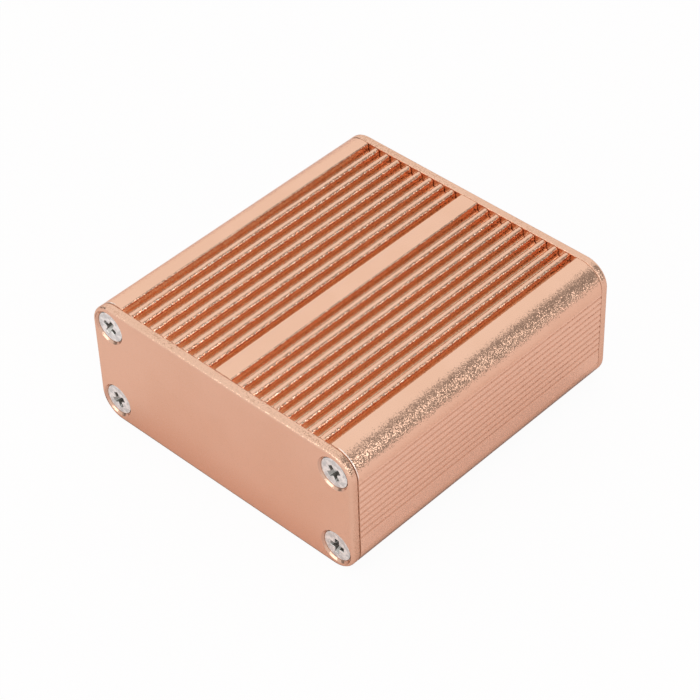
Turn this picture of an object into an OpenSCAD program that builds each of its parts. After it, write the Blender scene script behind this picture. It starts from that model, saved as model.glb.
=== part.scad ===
// Aluminium project box: a finned, extruded sleeve that two screwed end plates close.
// X is the width, Y the length along the extrusion and Z is up.
// The origin is the centre of the underside.

/* [Case] */
// Width over the side walls
case_w = 54.6; // [44:0.2:120]
// Height over the flats of the roof
case_h = 23; // [20:0.5:60]
// Length of the extruded sleeve, without the end plates
sleeve_l = 55.2; // [30:0.2:250]
// Outside radius of the four long edges
corner_r = 4.2; // [2:0.1:6]

/* [Walls] */
// Thickness of the side walls
side_t = 1.6; // [1.2:0.1:3]
// Thickness of the floor
floor_t = 1.6; // [1:0.1:3]
// Thickness of the roof under the grooves
roof_t = 1.5; // [1:0.1:3]

/* [Cooling ribs] */
// Width of a rib, which is also the diameter of its round tip
rib_w = 1.2; // [0.6:0.05:1.4]
// Drop of the ribs' tips below the flats of the roof
rib_drop = 0.15; // [0:0.05:0.3]
// Width of a groove between two ribs
groove_w = 1.17; // [0.8:0.01:3]
// Depth of the grooves below the flats of the roof
groove_depth = 1.65; // [1.1:0.05:2.5]
// Radius of the fillets along the bottom of the grooves
groove_r = 0.4; // [0.1:0.05:0.4]
// Radius of the flats' edges beside the outermost grooves
lip_r = 0.35; // [0.05:0.05:0.4]
// Width of the plain flat between the two groups of ribs
spine_w = 3.55; // [1:0.05:10]
// Least width of plain flat between a group of ribs and the rounded long edge
shoulder_w = 0.8; // [0.2:0.1:6]

/* [Side lines] */
// Distance of the first fine line below the top
line_top = 5.2; // [4.5:0.05:8]
// Least distance of the last fine line above the underside
line_bottom = 6.8; // [4.5:0.1:9]
// Spacing of the fine lines
line_pitch = 1.2; // [0.8:0.05:3]
// Width of a fine line at the surface
line_w = 0.6; // [0.2:0.05:0.7]
// Depth of a fine line
line_depth = 0.03; // [0.02:0.01:0.2]

/* [Board rails] */
// Number of board slots on each side wall
slot_count = 2; // [1:1:3]
// Width of a slot, for a board of 1.6 mm
slot_w = 1.8; // [1.2:0.1:2.4]
// Thickness of a rail beside a slot
rail_t = 1.1; // [0.8:0.1:2]
// Reach of a rail from the side wall
rail_reach = 1.4; // [0.8:0.1:3]

/* [End plates] */
// Thickness of an end plate
plate_t = 1.5; // [1.2:0.1:4]
// Radius of the rounded edge round an end plate's outer face
plate_edge_r = 0.55; // [0.1:0.05:0.7]
// Radius of the rounded edge round its inner face
plate_break = 0.25; // [0.05:0.05:0.4]

/* [Screws] */
// Diameter of the screw's flat head
head_d = 5.2; // [4.5:0.1:6]
// Height of the straight rim round the head
head_rim = 0.08; // [0.05:0.01:0.3]
// Depth of the head's face below the end plate's face
head_recess = 0.25; // [0:0.05:0.4]
// Diameter of the screw's shank at the root of its thread
shank_d = 2.5; // [2:0.1:3]
// Length of the screw with its head
screw_l = 8; // [6:0.5:14]
// Width of the cross recess from tip to tip
recess_w = 2.7; // [2:0.1:3.6]
// Width of one slot of the cross recess
recess_slot = 0.8; // [0.4:0.05:1]
// Depth of the cross recess
recess_depth = 1.2; // [0.6:0.1:1.5]
// Play between the screw's shank and the wall of its channel
shank_play = 0.1; // [0.05:0.05:0.3]
// Play between the screw's shank and the hole in the end plate
hole_play = 0.4; // [0.2:0.05:0.6]
// Play between the head's cone and its seat, along the screw
seat_play = 0.05; // [0.02:0.01:0.1]
// Thickness of metal round a screw channel
channel_t = 1.35; // [1:0.05:2]
// Width of the slit that opens a screw channel to the inside
channel_slit = 1.2; // [0.8:0.1:2]
// How far a screw lies outside the centre of the rounded corner, across the width
screw_out_x = 0.7; // [0:0.05:1]
// How far a screw lies outside the centre of the rounded corner, up or down
screw_out_z = 0.3; // [0:0.05:1]
// Least flat rim between a screw's seat and the end plate's rounded edge
rim_w = 0.1; // [0.05:0.05:1]

/* [Hidden] */
$fn = 64;
ROSE_GOLD = [0.85, 0.64, 0.54];
NICKEL = [0.78, 0.78, 0.76];

// Overlap of a cutting shape past the face that it cuts
cut = 1;

// Ribs of one group, and the width that the group takes up with its grooves
rib_pitch = rib_w + groove_w;
group_room = case_w / 2 - corner_r - shoulder_w - spine_w / 2;
rib_count = floor((group_room - groove_w) / rib_pitch);
group_w = rib_count * rib_pitch + groove_w;

// Fine lines on one side wall, each an arc of a circle that cuts line_depth deep
line_count = floor((case_h - line_top - line_bottom) / line_pitch) + 1;
line_r = (line_w * line_w / 4 + line_depth * line_depth) / (2 * line_depth);

// Heads and seats have a right-angled cone, so a step along the screw is the same step in radius
shank_r = shank_d / 2;
cone_h = (head_d - shank_d) / 2;
seat_r = head_d / 2 + head_recess + head_rim + seat_play;
hole_r = shank_r + hole_play;
channel_r = shank_r + shank_play;

// Screw centres, kept clear of the end plate's rounded edge
seat_room = seat_r + plate_edge_r + rim_w;
screw_x = case_w / 2 - max(corner_r - screw_out_x, seat_room);
screw_z = case_h / 2 - max(corner_r - screw_out_z, seat_room);
// Turn of each cross recess, as the screws happen to stop
recess_turns = [26, 62, 0, 33];

// Outline of the box, from the origin up
module rounded_outline(inset = 0) {
    r = corner_r - inset;
    translate([0, case_h / 2]) {
        square([case_w - 2 * corner_r, case_h - 2 * inset], center = true);
        square([case_w - 2 * inset, case_h - 2 * corner_r], center = true);
        for (x = [-1, 1], z = [-1, 1])
            translate([x * (case_w / 2 - corner_r), z * (case_h / 2 - corner_r)])
                circle(r);
    }
}

// What rounds the edge of a flat that lies to the right of the origin
module lip_cut() {
    difference() {
        translate([-cut, -lip_r])
            square([cut + lip_r, lip_r + cut]);
        translate([lip_r, -lip_r])
            circle(lip_r);
    }
}

// Metal that fills out a groove's corner, between a wall at the left of the origin and the floor below it
module corner_fillet() {
    difference() {
        translate([-rib_w / 2, -cut])
            square([rib_w / 2 + groove_r, cut + groove_r]);
        translate([groove_r, groove_r])
            circle(groove_r);
    }
}

// One group of grooves, with round-tipped ribs left standing, from the spine outwards
module rib_group() {
    tip_z = case_h - rib_drop - rib_w / 2;
    floor_z = case_h - groove_depth;
    difference() {
        union() {
            translate([spine_w / 2, floor_z])
                square([group_w, groove_depth + cut]);
            translate([spine_w / 2 + group_w, case_h])
                lip_cut();
            translate([spine_w / 2, case_h])
                mirror([1, 0])
                    lip_cut();
        }
        for (i = [1 : rib_count])
            translate([spine_w / 2 + i * rib_pitch - rib_w / 2, 0]) {
                translate([0, tip_z])
                    circle(rib_w / 2);
                translate([-rib_w / 2, floor_z])
                    square([rib_w, tip_z - floor_z]);
            }
        for (i = [0 : rib_count])
            translate([spine_w / 2 + i * rib_pitch, floor_z]) {
                corner_fillet();
                translate([groove_w, 0])
                    mirror([1, 0])
                        corner_fillet();
            }
    }
}

// Fine lines down one side wall
module side_lines() {
    for (i = [0 : line_count - 1])
        translate([case_w / 2 - line_depth + line_r, case_h - line_top - i * line_pitch])
            circle(line_r);
}

// Places its children at the four screws, in the plane of the end plates
module at_screws() {
    for (x = [-1, 1], z = [-1, 1])
        translate([x * screw_x, case_h / 2 + z * screw_z])
            children();
}

// Hollow inside, before the channels and rails take their share
module hollow() {
    translate([side_t - case_w / 2, floor_t])
        square([case_w - 2 * side_t, case_h - floor_t - roof_t - groove_depth]);
}

// Metal round the screw channels, filled out to the corner walls
module channel_metal() {
    r = channel_r + channel_t;
    for (x = [0, 1], z = [0, 1])
        translate([0, z * case_h])
            mirror([x, 0])
                mirror([0, z])
                    translate([screw_x, case_h / 2 - screw_z]) {
                        circle(r);
                        translate([0, -case_h / 2 + screw_z])
                            square([case_w / 2 - screw_x, case_h / 2 - screw_z + r]);
                        translate([-r, -case_h / 2 + screw_z])
                            square([case_w / 2 - screw_x + r, case_h / 2 - screw_z]);
                    }
}

// Bore of each screw channel and the slit that opens it towards the middle of the box
module channel_bores() {
    for (x = [-1, 1], z = [-1, 1])
        translate([x * screw_x, case_h / 2 + z * screw_z]) {
            circle(channel_r);
            rotate(x * z > 0 ? 45 : -45)
                translate([x > 0 ? -channel_r - channel_t - cut : 0, -channel_slit / 2])
                    square([channel_r + channel_t + cut, channel_slit]);
        }
}

// Rails that hold a board by its edges, in pairs about each slot
module board_rails() {
    step = slot_w + rail_t;
    for (x = [-1, 1], i = [0 : slot_count])
        translate([x * (case_w / 2 - side_t / 2 - rail_reach / 2), case_h / 2 + (i - slot_count / 2) * step])
            square([side_t + rail_reach, rail_t], center = true);
}

// Section of the extrusion
module sleeve_section() {
    difference() {
        rounded_outline();
        for (x = [0, 1])
            mirror([x, 0]) {
                rib_group();
                side_lines();
            }
        difference() {
            hollow();
            channel_metal();
            board_rails();
        }
        channel_bores();
    }
}

// Places its children on the front end of the sleeve, with their local Z outwards
module at_front() {
    translate([0, -sleeve_l / 2, 0])
        rotate([90, 0, 0])
            children();
}

// The same for the rear end
module at_rear() {
    mirror([0, 1, 0])
        at_front()
            children();
}

// Countersunk seat of a screw's head, measured down from the end plate's face
module screw_seat() {
    translate([0, 0, plate_t - seat_r + shank_r])
        cylinder(r1 = shank_r, r2 = seat_r, h = seat_r - shank_r);
}

// Section of an end plate's rim: the plate's thickness, rounded at both faces
module edge_section(reach) {
    square([reach - plate_break, plate_t - plate_edge_r]);
    translate([0, plate_break]) {
        square([reach - plate_edge_r, plate_t - plate_break]);
        square([reach, plate_t - plate_edge_r - plate_break]);
    }
    translate([reach - plate_edge_r, plate_t - plate_edge_r])
        circle(plate_edge_r);
    translate([reach - plate_break, plate_break])
        circle(plate_break);
}

// End plate without holes, in nine patches: the middle, four straight edges and four corners
module plate_blank() {
    flat_w = case_w - 2 * corner_r;
    flat_h = case_h - 2 * corner_r;
    translate([0, case_h / 2, 0]) {
        translate([-flat_w / 2, -flat_h / 2, 0])
            cube([flat_w, flat_h, plate_t]);
        for (side = [-1, 1]) {
            translate([side * flat_w / 2, 0, 0])
                rotate([90, 0, side > 0 ? 0 : 180])
                    linear_extrude(flat_h, center = true)
                        edge_section(corner_r);
            translate([0, side * flat_h / 2, 0])
                rotate([90, 0, side > 0 ? 90 : -90])
                    linear_extrude(flat_w, center = true)
                        edge_section(corner_r);
        }
        for (turn = [0 : 3])
            translate([(turn % 3 == 0 ? 1 : -1) * flat_w / 2, (turn < 2 ? 1 : -1) * flat_h / 2, 0])
                rotate([0, 0, turn * 90])
                    rotate_extrude(angle = 90)
                        edge_section(corner_r);
    }
}

// End plate with its four countersunk screw holes
module end_plate() {
    difference() {
        plate_blank();
        at_screws() {
            screw_seat();
            translate([0, 0, -cut])
                cylinder(r = hole_r, h = plate_t);
        }
    }
}

// Cross recess, cut into the head's face
module cross_recess() {
    intersection() {
        translate([0, 0, -recess_depth])
            cylinder(r1 = recess_slot / 2, r2 = recess_w / 2, h = recess_depth);
        for (turn = [0, 90])
            rotate(turn)
                translate([-recess_w / 2, -recess_slot / 2, -recess_depth])
                    cube([recess_w, recess_slot, recess_depth + cut]);
    }
}

// Countersunk screw with the face of its head at the origin and its point towards -Z
module screw(turn) {
    difference() {
        rotate_extrude()
            polygon([
                [0, 0],
                [head_d / 2, 0],
                [head_d / 2, -head_rim],
                [shank_r, -head_rim - cone_h],
                [shank_r, -screw_l + shank_r / 2],
                [shank_r / 2, -screw_l],
                [0, -screw_l]
            ]);
        rotate(turn)
            cross_recess();
    }
}

// The four screws of one end plate
module plate_screws() {
    for (x = [0, 1], z = [0, 1])
        translate([(2 * x - 1) * screw_x, case_h / 2 + (2 * z - 1) * screw_z, plate_t - head_recess])
            screw(recess_turns[2 * x + z]);
}

module body() {
    color(ROSE_GOLD)
        difference() {
            rotate([90, 0, 0])
                linear_extrude(sleeve_l, center = true)
                    sleeve_section();
            at_front()
                at_screws()
                    screw_seat();
            at_rear()
                at_screws()
                    screw_seat();
        }
}

module front_plate() {
    color(ROSE_GOLD)
        at_front()
            end_plate();
}

module rear_plate() {
    color(ROSE_GOLD)
        at_rear()
            end_plate();
}

module front_screws() {
    color(NICKEL)
        at_front()
            plate_screws();
}

module rear_screws() {
    color(NICKEL)
        at_rear()
            plate_screws();
}

body();
front_plate();
rear_plate();
front_screws();
rear_screws();
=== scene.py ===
import math

import bmesh
import bpy
from mathutils import Matrix, Vector


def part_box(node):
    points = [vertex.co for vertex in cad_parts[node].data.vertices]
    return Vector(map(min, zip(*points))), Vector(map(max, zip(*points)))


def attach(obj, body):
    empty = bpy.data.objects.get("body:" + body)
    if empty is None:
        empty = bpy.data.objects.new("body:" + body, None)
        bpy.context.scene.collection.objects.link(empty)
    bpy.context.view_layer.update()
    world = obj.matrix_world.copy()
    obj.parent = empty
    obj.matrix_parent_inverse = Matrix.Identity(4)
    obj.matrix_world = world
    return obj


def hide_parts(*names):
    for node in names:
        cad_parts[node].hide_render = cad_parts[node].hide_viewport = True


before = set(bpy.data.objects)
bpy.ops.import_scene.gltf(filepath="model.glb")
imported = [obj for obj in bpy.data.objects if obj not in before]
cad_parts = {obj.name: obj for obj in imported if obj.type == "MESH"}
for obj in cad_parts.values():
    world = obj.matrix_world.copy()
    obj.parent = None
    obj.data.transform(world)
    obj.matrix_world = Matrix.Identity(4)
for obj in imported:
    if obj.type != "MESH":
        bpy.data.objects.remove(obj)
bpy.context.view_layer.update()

# Looks of a small aluminium project box: a finned, extruded sleeve and two screwed end plates.
# Sections are drawn in a plane with X across and Y up, and their Z runs along the box.

MM = 0.001

# Main sizes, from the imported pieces
sleeve_low, sleeve_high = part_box("body")
plate_low, plate_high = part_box("front_plate")
heads_low, heads_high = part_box("front_screws")
CASE_W = sleeve_high.x - sleeve_low.x
CASE_H = sleeve_high.z - sleeve_low.z
SLEEVE_L = sleeve_high.y - sleeve_low.y
PLATE_T = plate_high.y - plate_low.y
SCREW_L = heads_high.y - heads_low.y
HEAD_RECESS = heads_low.y - plate_low.y

# Sleeve
CORNER_R = 4.2 * MM
SIDE_T = 1.6 * MM
FLOOR_T = 1.6 * MM
ROOF_T = 1.5 * MM
SLEEVE_BREAK = 0.22 * MM

# Cooling ribs
RIB_W = 1.2 * MM
RIB_DROP = 0.15 * MM
GROOVE_W = 1.17 * MM
GROOVE_DEPTH = 1.65 * MM
GROOVE_FILLET = 0.4 * MM
GROOVE_LIP = 0.35 * MM
SPINE_W = 3.55 * MM
SHOULDER_W = 0.8 * MM
RIB_PITCH = RIB_W + GROOVE_W
RIB_COUNT = math.floor((CASE_W / 2 - CORNER_R - SHOULDER_W - SPINE_W / 2 - GROOVE_W) / RIB_PITCH)
GROUP_END = SPINE_W / 2 + RIB_COUNT * RIB_PITCH + GROOVE_W

# Fine lines on the side walls
LINE_TOP = 5.2 * MM
LINE_BOTTOM = 6.8 * MM
LINE_PITCH = 1.2 * MM
LINE_W = 0.6 * MM
LINE_DEPTH = 0.05 * MM
LINE_COUNT = math.floor((CASE_H - LINE_TOP - LINE_BOTTOM) / LINE_PITCH) + 1
LINE_LOWEST = CASE_H - LINE_TOP - (LINE_COUNT - 1) * LINE_PITCH

# Board rails
SLOT_COUNT = 2
SLOT_W = 1.8 * MM
RAIL_T = 1.1 * MM
RAIL_REACH = 1.4 * MM

# End plates
PLATE_EDGE_R = 0.55 * MM
PLATE_BREAK = 0.25 * MM
SEAT_LIP = 0.03 * MM

# Screws
HEAD_R = 2.6 * MM
HEAD_RIM = 0.08 * MM
HEAD_CROWN = 0.6 * MM
HEAD_ROUND = 0.07 * MM
SHANK_R = 1.25 * MM
THREAD_R = 1.34 * MM
THREAD_PITCH = 0.5 * MM
TIP_L = 0.625 * MM
TIP_R = SHANK_R / 2
SEAT_PLAY = 0.05 * MM
HOLE_PLAY = 0.4 * MM
SHANK_PLAY = 0.1 * MM
CHANNEL_T = 1.35 * MM
CHANNEL_SLIT = 1.2 * MM
SCREW_X = heads_high.x - HEAD_R
SCREW_LOW = heads_low.z + HEAD_R
SCREW_HIGH = heads_high.z - HEAD_R
SCREW_MIDDLE = (SCREW_HIGH + SCREW_LOW) / 2
SCREW_SPACING = SCREW_HIGH - SCREW_LOW
SEAT_R = HEAD_R + HEAD_RECESS + HEAD_RIM + SEAT_PLAY
HOLE_R = SHANK_R + HOLE_PLAY
BORE_R = SHANK_R + SHANK_PLAY
CHANNEL_R = BORE_R + CHANNEL_T
BORE_MOUTH = SEAT_R - PLATE_T - BORE_R

# Cross recesses, which narrow from their mouth to their foot
RECESS_EDGE = 0.05 * MM
RECESS_REACH = 1.35 * MM
RECESS_HALF = 0.4 * MM
RECESS_TIP_R = 0.12 * MM
RECESS_FILLET = 0.2 * MM
RECESS_FOOT_REACH = 0.62 * MM
RECESS_FOOT_HALF = 0.3 * MM
RECESS_FOOT_TIP_R = 0.08 * MM
RECESS_FOOT_FILLET = 0.1 * MM
RECESS_DEPTH = 1.0 * MM
RECESS_POINT = 1.2 * MM

# Turns of the cross recesses in degrees, as seen from outside, where the rear ones mirror the front ones
FRONT_TURNS = {"Lower Left": 26, "Lower Right": 0, "Upper Left": 62, "Upper Right": 33}
REAR_TURNS = {"Lower Left": 0, "Lower Right": -26, "Upper Left": -33, "Upper Right": -62}

# Fineness of the meshes, with HOLD the width of the strips that keep a flat plain beside an edge
CHORD_ERROR = 0.002 * MM
HOLD = 0.03 * MM
WELD = 0.001 * MM
ROUND_STEPS = 4
SCREW_SIDES = 48
THREAD_STEPS = 6
SHARP_ANGLE = math.radians(35)

# Blasted surface: grains, tilted facets and wide clouds
GRAIN = 0.3 * MM
GRAIN_RELIEF = 0.02 * MM
FACET = 0.13 * MM
FACET_TILT = 0.26
FACET_MIDDLE = (0.5, 0.5, 0.5)
MACHINED_SMOOTH = 0.85
CLOUD = 9 * MM
CLOUD_LOW = 0.35
CLOUD_HIGH = 0.65
BLASTED_ROUGH = 0.1
CLOUD_ROUGH = 0.05

# Specks of the blasted surface, where painted glints go
SPECK = 0.22 * MM
SPECK_LOW = 0.48
SPECK_HIGH = 0.62

# Painted shade on the ribs' flanks and in the grooves, by depth below the ribs' tips or the roof, and
# painted light in the grooves' ends, by distance from them
FLANK_CLEAR = 0.03 * MM
FLANK_FULL = 0.16 * MM
GROOVE_CLEAR = 0.6 * MM
GROOVE_FULL = 1.2 * MM
END_START = 2.5 * MM
END_FULL = 0.3 * MM

# Slopes of a rib's flank between which glints are painted on its specks
SPARK_START = 0.45
SPARK_FULL = 0.7
SPARK_FADE = 0.86
SPARK_END = 0.97

# Rim of an end plate, with painted dark glints in patches of more and fewer specks
RIM_PATCH = 10 * MM
RIM_PATCH_LOW = 0.4
RIM_PATCH_HIGH = 0.6
RIM_LEAST = 0.3

# Dark joint of sleeve and end plate, by distance from it
SEAM_DARK = 0.07 * MM
SEAM_CLEAR = 0.16 * MM
SEAM_ON_TOP = 0.35
JOINT_DARK = 0.02 * MM
JOINT_CLEAR = 0.06 * MM

# Painted highlight on the rounded edge at the front end of the sleeve, by distance from that end
EDGE_HIGHLIGHT_START = 0.09 * MM
EDGE_HIGHLIGHT_FULL = 0.13 * MM
EDGE_HIGHLIGHT_FADE = 0.2 * MM
EDGE_HIGHLIGHT_END = 0.28 * MM
EDGE_HIGHLIGHT_TURN = 1 * MM

# Painted shade in the gap round a screw's head, by distance from the head
GAP_DARK = 0.02 * MM
GAP_CLEAR = 0.09 * MM

# Painted shade on the lower edges of the sleeve and the end plates, and low on an end plate's face, by
# height
UNDER_END = 0.6 * MM
UNDER_START = 1.4 * MM
UNDER_DARK = 2.5 * MM
UNDER_CLEAR = 3.5 * MM
FOOT_END = 0.05 * MM
FOOT_DARK = 0.35 * MM
FOOT_CLEAR = 0.7 * MM
LOW_END = 8 * MM

# Colours of the anodised metal, of its dark joint, and of the painted shade, light, glints and highlight
# laid on it
BODY_TINTS = ((0.84, 0.52, 0.37, 1), (0.86, 0.54, 0.39, 1))
PLATE_TINTS = ((0.81, 0.51, 0.367, 1), (0.83, 0.53, 0.387, 1))
SHEEN_TINT = (0.95, 0.82, 0.74, 1)
# Painted light on the side walls, up to the highest fine line
RIDGE_LIGHT_TINT = (0.90, 0.58, 0.435, 1)
# Painted dark glints, in specks on the rounded rim of an end plate
RIM_SHADE_SPECK_TINT = (0.62, 0.37, 0.25, 1)
# Painted shade in the countersunk seats
SEAT_SHADE_TINT = (0.68, 0.43, 0.32, 1)
# Painted shade on the flanks of the ribs, deeper in colour
FLANK_SHADE_TINT = (0.88, 0.44, 0.275, 1)
# Painted glints on the flanks of the ribs that face the right
FLANK_GLINT_TINT = (1.0, 0.82, 0.66, 1)
# Painted shade in the grooves, deeper in colour
GROOVE_SHADE_TINT = (0.755, 0.475, 0.315, 1)
# Painted light in the grooves' ends, beside the end plates
END_LIGHT_TINT = (0.86, 0.62, 0.47, 1)
# Painted shade in the gap round a screw's head
GAP_SHADE_TINT = (0.16, 0.09, 0.06, 1)
# Painted highlight on the rounded front end of the sleeve's upper edges
EDGE_HIGHLIGHT_TINT = (1.0, 0.88, 0.80, 1)
# Painted shade in the fine lines of the side walls
LINE_SHADE_TINT = (0.74, 0.43, 0.30, 1)
# Painted shade on the lower rounded edges of the sleeve and the end plates
UNDER_SHADE_TINT = (0.32, 0.20, 0.15, 1)
# Painted shade on the lower part of an end plate's face
LOW_SHADE_TINT = (0.77, 0.455, 0.32, 1)
SEAM_TINT = (0.35, 0.17, 0.10, 1)

# Nickel plate, with fine marks and duller patches
MARK = 0.35 * MM
MARK_RELIEF = 0.008 * MM
PATCH = 1.1 * MM
PATCH_LOW = 0.38
PATCH_HIGH = 0.62
WEAR_FINENESS = 0.6
DULL_NICKEL = (0.64, 0.66, 0.65, 1)
BRIGHT_NICKEL = (0.95, 0.96, 0.93, 1)
# Painted shade in the cross recesses
RECESS_SHADE_NICKEL = (0.34, 0.33, 0.31, 1)
NICKEL_ROUGH = 0.18
MARK_ROUGH = 0.1
RECESS_ROUGH = 0.1

# Camera, as fitted to the photo, with its lens in millimetres
CAMERA_TURN = math.radians(44.717)
CAMERA_RISE = math.radians(42.170)
CAMERA_ROLL = math.radians(-2.143)
CAMERA_DISTANCE = 382.37 * MM
CAMERA_ASIDE = -0.417 * MM
CAMERA_ABOVE = -1.793 * MM
CAMERA_NEAR = 10 * MM
CAMERA_LENS = 125.7

# Dim parts of the surround: the direction, how close to it they start and are full, and how light they are
DIM_SIDES = [
    ((0.71, 0.53, 0.46), 0.70, 0.92, 0.33),
    ((-0.97, -0.22, 0.05), 0.86, 0.96, 0.3),
]
WHITE = (1, 1, 1, 1)

# Floor
FLOOR_R = 800 * MM
FLOOR_SIDES = 64
FLOOR_DROP = 0.02 * MM
FLOOR_PAINT = (0.89, 0.805, 0.80, 1)
FLOOR_GLOW = 0.95
FLOOR_MIRRORED = 0.04
FLOOR_CONTACT = 0.3 * MM


class Value:
    """One output of a node. Arithmetic and comparisons on it add Math nodes."""

    def __init__(self, graph, output):
        self.graph = graph
        self.output = output

    def __getitem__(self, name):
        return Value(self.graph, self.output.node.outputs[name])

    def __add__(self, other):
        return self.graph.math("ADD", self, other)

    def __radd__(self, other):
        return self.graph.math("ADD", other, self)

    def __sub__(self, other):
        return self.graph.math("SUBTRACT", self, other)

    def __rsub__(self, other):
        return self.graph.math("SUBTRACT", other, self)

    def __mul__(self, other):
        return self.graph.math("MULTIPLY", self, other)

    def __rmul__(self, other):
        return self.graph.math("MULTIPLY", other, self)

    def __neg__(self):
        return self.graph.math("MULTIPLY", self, -1)

    def __abs__(self):
        return self.graph.math("ABSOLUTE", self)

    def __lt__(self, other):
        return self.graph.math("LESS_THAN", self, other)

    def __gt__(self, other):
        return self.graph.math("GREATER_THAN", self, other)

    def rise(self, low, high, start=0.0, end=1.0):
        """A smooth step from a start to an end, between two limits of this value."""
        return self.graph.add("ShaderNodeMapRange", {"interpolation_type": "SMOOTHSTEP"}, {
            "Value": self, "From Min": low, "From Max": high, "To Min": start, "To Max": end})

    def fall(self, low, high, end=0.0):
        """A smooth step from 1 down to an end, between two limits of this value."""
        return self.rise(low, high, 1.0, end)


class Graph:
    """Adds nodes to a tree."""

    def __init__(self, tree):
        self.tree = tree

    def add(self, kind, settings=None, sockets=None):
        """A node with its settings made first and its sockets then set or linked."""
        node = self.tree.nodes.new(kind)
        for name, setting in (settings or {}).items():
            setattr(node, name, setting)
        for key, value in (sockets or {}).items():
            self.feed(node, key, value)
        shown = [output for output in node.outputs if output.enabled]
        return Value(self, shown[0]) if shown else node

    def feed(self, node, key, value):
        """Sets or links a socket, which is found by its identifier or its name."""
        socket = next(s for s in node.inputs if s.enabled and key in (s.identifier, s.name))
        items = value if isinstance(value, list) else [value]
        for item in items:
            if isinstance(item, Value):
                self.tree.links.new(item.output, socket)
            else:
                socket.default_value = item

    def math(self, operation, first, second=None):
        sockets = {"Value": first}
        if second is not None:
            sockets["Value_001"] = second
        return self.add("ShaderNodeMath", {"operation": operation}, sockets)

    def vector(self, operation, first, second):
        return self.add("ShaderNodeVectorMath", {"operation": operation},
                        {"Vector": first, "Vector_001": second})

    def scaled(self, vector, scale):
        return self.add("ShaderNodeVectorMath", {"operation": "SCALE"}, {"Vector": vector, "Scale": scale})

    def unit(self, vector):
        return self.add("ShaderNodeVectorMath", {"operation": "NORMALIZE"}, {"Vector": vector})

    def xyz(self, x=0.0, y=0.0, z=0.0):
        return self.add("ShaderNodeCombineXYZ", None, {"X": x, "Y": y, "Z": z})

    def split(self, vector):
        return self.add("ShaderNodeSeparateXYZ", None, {"Vector": vector})


def new_object(name, data):
    obj = bpy.data.objects.new(name, data)
    bpy.context.scene.collection.objects.link(obj)
    return obj


# Outlines

class Outline:
    """A run of points in the section plane, walked with the metal on its left."""

    def __init__(self, x, y):
        self.points = [Vector((x, y))]
        self.end_break = SLEEVE_BREAK
        self.breaks = [SLEEVE_BREAK]
        self.closed = False

    def put(self, point):
        if (point - self.points[-1]).length > WELD:
            self.points.append(point)
            self.breaks.append(self.end_break)

    def line(self, x, y):
        """A straight stretch, with a point close to each end that keeps its shading flat."""
        start, end = self.points[-1].copy(), Vector((x, y))
        along = end - start
        if along.length > 3 * HOLD:
            self.put(start + along.normalized() * HOLD)
            self.put(end - along.normalized() * HOLD)
        self.put(end)

    def arc(self, x, y, radius, start, end, steps=None):
        """A round stretch about a centre, from one angle to another in degrees."""
        sweep = math.radians(end - start)
        step = 2 * math.acos(1 - CHORD_ERROR / radius)
        steps = steps or max(2, math.ceil(abs(sweep) / step))
        for i in range(steps + 1):
            angle = math.radians(start) + sweep * i / steps
            self.put(Vector((x + radius * math.cos(angle), y + radius * math.sin(angle))))

    def close(self):
        """Joins the last point to the first."""
        start = self.points[0]
        self.line(start.x, start.y)
        self.points.pop()
        self.breaks.pop()
        self.closed = True
        return self

    def close_with_mirror(self):
        """Adds the other half to an outline that starts and ends in the middle of the box."""
        self.points += [Vector((-p.x, p.y)) for p in self.points[-2:0:-1]]
        self.breaks += self.breaks[-2:0:-1]
        self.closed = True
        return self

    def edges(self):
        count = len(self.points)
        pairs = [(i, i + 1) for i in range(count - 1)]
        return pairs + [(count - 1, 0)] if self.closed else pairs

    def outward(self):
        """For each point, the step that moves both its edges out of the metal by one."""
        normals = []
        for start, end in self.edges():
            along = (self.points[end] - self.points[start]).normalized()
            normals.append(Vector((along.y, -along.x)))
        steps = []
        for i in range(len(self.points)):
            before = normals[i - 1] if i or self.closed else normals[0]
            after = normals[i] if i < len(normals) else normals[-1]
            steps.append((before + after) / (1 + before.dot(after)))
        return steps


def outline_object(name, outlines):
    """A mesh of edges for the geometry nodes, with the outward steps and end breaks of its points."""
    points, edges, outward, breaks = [], [], [], []
    for outline in outlines:
        first = len(points)
        points += [(p.x, p.y, 0) for p in outline.points]
        edges += [(first + a, first + b) for a, b in outline.edges()]
        outward += [(step.x, step.y, 0) for step in outline.outward()]
        breaks += outline.breaks
    mesh = bpy.data.meshes.new(name)
    mesh.from_pydata(points, edges, [])
    steps = mesh.attributes.new("outward", "FLOAT_VECTOR", "POINT")
    steps.data.foreach_set("vector", [part for step in outward for part in step])
    mesh.attributes.new("end_break", "FLOAT", "POINT").data.foreach_set("value", breaks)
    return new_object(name, mesh)


# Section of the sleeve

def rib_step():
    """One rib, from the middle of the groove on its right to the middle of the groove on its left."""
    wall, floor = RIB_W / 2, -GROOVE_DEPTH
    tip = -RIB_DROP - wall
    step = Outline(RIB_PITCH / 2, floor)
    step.line(wall + GROOVE_FILLET, floor)
    step.arc(wall + GROOVE_FILLET, floor + GROOVE_FILLET, GROOVE_FILLET, -90, -180)
    step.line(wall, tip)
    step.arc(0, tip, wall, 0, 180)
    step.line(-wall, floor + GROOVE_FILLET)
    step.arc(-wall - GROOVE_FILLET, floor + GROOVE_FILLET, GROOVE_FILLET, 0, -90)
    step.line(-RIB_PITCH / 2, floor)
    return step


def line_step(side):
    """One fine line of the right (1) or left (-1) side wall, from the middle of one flat to the next."""
    radius = (LINE_W ** 2 / 4 + LINE_DEPTH ** 2) / (2 * LINE_DEPTH)
    centre = radius - LINE_DEPTH
    spread = math.degrees(math.asin(LINE_W / 2 / radius))
    facing = 180 if side > 0 else 0
    step = Outline(0, -side * LINE_PITCH / 2)
    step.line(0, -side * LINE_W / 2)
    step.arc(side * centre, 0, radius, facing + spread, facing - spread)
    step.line(0, side * LINE_PITCH / 2)
    return step


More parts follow.
